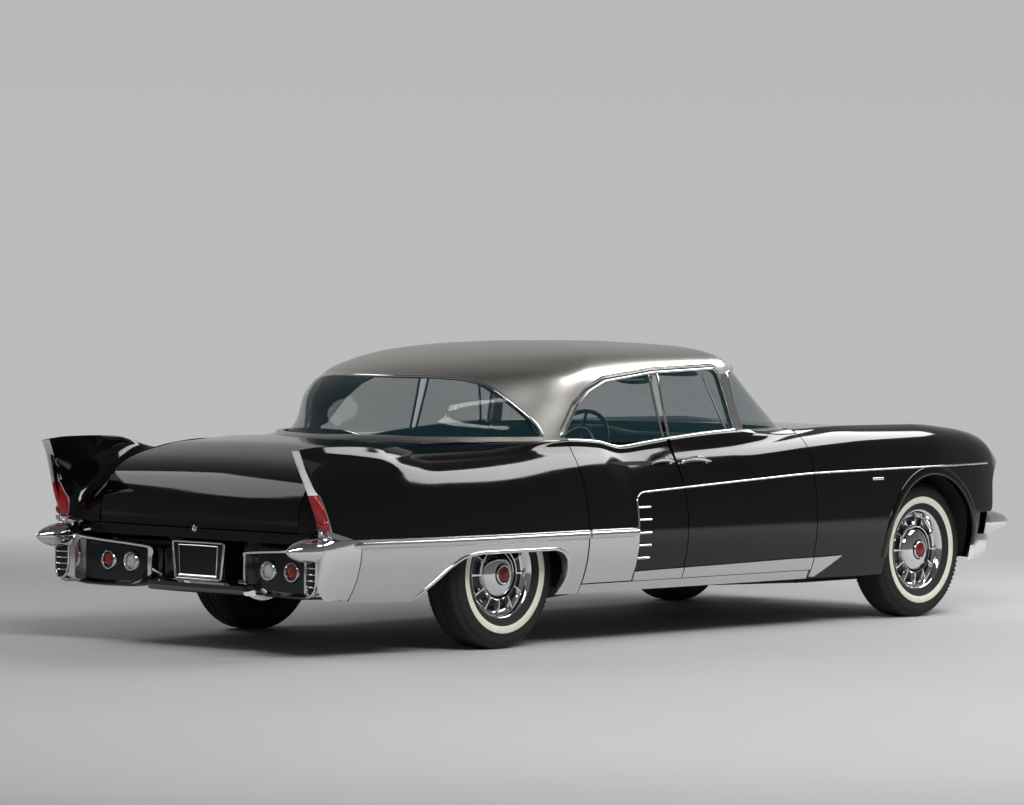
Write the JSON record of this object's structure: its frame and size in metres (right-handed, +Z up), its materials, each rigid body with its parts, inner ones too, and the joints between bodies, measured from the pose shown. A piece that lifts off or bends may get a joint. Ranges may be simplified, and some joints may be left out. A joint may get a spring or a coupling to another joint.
{
  "type": "car",
  "caption": "Four-door 1950s hardtop saloon with tail fins, stainless roof, rear-hinged rear doors and bumper bullets; doors, lids, steering and wheels move.",
  "frame": {"origin": "on the ground under the centre of the overall length and width", "axes": "+X forwards, +Y to the car's left, +Z up"},
  "size_m": [5.494, 1.9806, 1.4101],
  "materials": {
    "black_paint": "high gloss",
    "stainless": "fine brushed",
    "chrome": "polished",
    "glass_tint": "tinted, polished",
    "red_lens": "gloss, ribbed",
    "clear_lens": "fluted",
    "tyre_rubber": "matte with a cream wall band",
    "seat_leather": "satin",
    "dash_paint": "satin",
    "wheel_rim": "gloss",
    "frame_paint": "satin",
    "cast_block": "painted, satin"
  },
  "bodies": {
    "body": {"wing_left": "black_paint", "wing_right": "black_paint", "quarter_left": "black_paint", "quarter_right": "black_paint", "deck_panel": "black_paint", "cowl": "black_paint", "tail_panel": "black_paint", "roof": "stainless", "pillars": "stainless", "side_trims": "stainless", "front_bumper": "chrome", "rear_bumper": "chrome", "grille": "chrome", "windscreen": "glass_tint", "rear_window": "glass_tint", "rear_lamps": "red_lens", "headlamps": "clear_lens", "front_seat": "seat_leather", "rear_seat": "seat_leather", "dashboard": "dash_paint", "floor": "frame_paint", "tunnel": "frame_paint", "bulkhead": "frame_paint", "boot_floor": "frame_paint", "wheel_housings": "frame_paint", "chassis": "frame_paint", "rear_axle": "frame_paint", "engine": "cast_block"},
    "front_door_left": {"door_front_left": "black_paint", "glass_front_left": "glass_tint"},
    "rear_door_left": {"door_rear_left": "black_paint", "glass_rear_left": "glass_tint"},
    "knuckle_left": {"knuckle_left": "frame_paint"},
    "front_wheel_left": {"tyre_front_left": "tyre_rubber", "wheel_front_left": "chrome"},
    "rear_wheel_left": {"tyre_rear_left": "tyre_rubber", "wheel_rear_left": "chrome"},
    "front_door_right": {"door_front_right": "black_paint", "glass_front_right": "glass_tint"},
    "rear_door_right": {"door_rear_right": "black_paint", "glass_rear_right": "glass_tint"},
    "knuckle_right": {"knuckle_right": "frame_paint"},
    "front_wheel_right": {"tyre_front_right": "tyre_rubber", "wheel_front_right": "chrome"},
    "rear_wheel_right": {"tyre_rear_right": "tyre_rubber", "wheel_rear_right": "chrome"},
    "bonnet": {"bonnet": "black_paint"},
    "boot_lid": {"boot_lid": "black_paint"},
    "steering_wheel": {"steering_wheel": "wheel_rim"}
  },
  "joints": [
    {"name": "front_door_left_hinge", "type": "hinge", "parent": "body", "child": "front_door_left", "pos_m": [0.83, 0.9855, 0.6], "axis": [0, 0, -1], "range_deg": [0, 65]},
    {"name": "rear_door_left_hinge", "type": "hinge", "parent": "body", "child": "rear_door_left", "pos_m": [-0.905, 0.9865, 0.6], "axis": [0, 0, 1], "range_deg": [0, 65]},
    {"name": "steer_left", "type": "hinge", "parent": "body", "child": "knuckle_left", "pos_m": [1.828, 0.7, 0.346], "axis": [0, 0, 1], "range_deg": [-32, 32]},
    {"name": "front_wheel_left_spin", "type": "hinge", "parent": "knuckle_left", "child": "front_wheel_left", "pos_m": [1.828, 0.775, 0.346], "axis": [0, 1, 0], "continuous": true},
    {"name": "rear_wheel_left_spin", "type": "hinge", "parent": "body", "child": "rear_wheel_left", "pos_m": [-1.372, 0.775, 0.346], "axis": [0, 1, 0], "continuous": true},
    {"name": "front_door_right_hinge", "type": "hinge", "parent": "body", "child": "front_door_right", "pos_m": [0.83, -0.9855, 0.6], "axis": [0, 0, 1], "range_deg": [0, 65]},
    {"name": "rear_door_right_hinge", "type": "hinge", "parent": "body", "child": "rear_door_right", "pos_m": [-0.905, -0.9865, 0.6], "axis": [0, 0, -1], "range_deg": [0, 65]},
    {"name": "steer_right", "type": "hinge", "parent": "body", "child": "knuckle_right", "pos_m": [1.828, -0.7, 0.346], "axis": [0, 0, 1], "range_deg": [-32, 32]},
    {"name": "front_wheel_right_spin", "type": "hinge", "parent": "knuckle_right", "child": "front_wheel_right", "pos_m": [1.828, -0.775, 0.346], "axis": [0, 1, 0], "continuous": true},
    {"name": "rear_wheel_right_spin", "type": "hinge", "parent": "body", "child": "rear_wheel_right", "pos_m": [-1.372, -0.775, 0.346], "axis": [0, 1, 0], "continuous": true},
    {"name": "bonnet_hinge", "type": "hinge", "parent": "body", "child": "bonnet", "pos_m": [1.259, 0, 0.985], "axis": [0, -1, 0], "range_deg": [0, 50]},
    {"name": "boot_lid_hinge", "type": "hinge", "parent": "body", "child": "boot_lid", "pos_m": [-1.787, 0, 0.959], "axis": [0, 1, 0], "range_deg": [0, 65]},
    {"name": "steering_wheel_turn", "type": "hinge", "parent": "body", "child": "steering_wheel", "pos_m": [0.548, 0.375, 0.8554], "axis": [-0.9063, 0, 0.4226], "range_deg": [-580, 580]}
  ],
  "couplings": [
    {"joint": "steer_left", "follows": "steer_right", "ratio": 1},
    {"joint": "steering_wheel_turn", "follows": "steer_right", "ratio": 18}
  ]
}
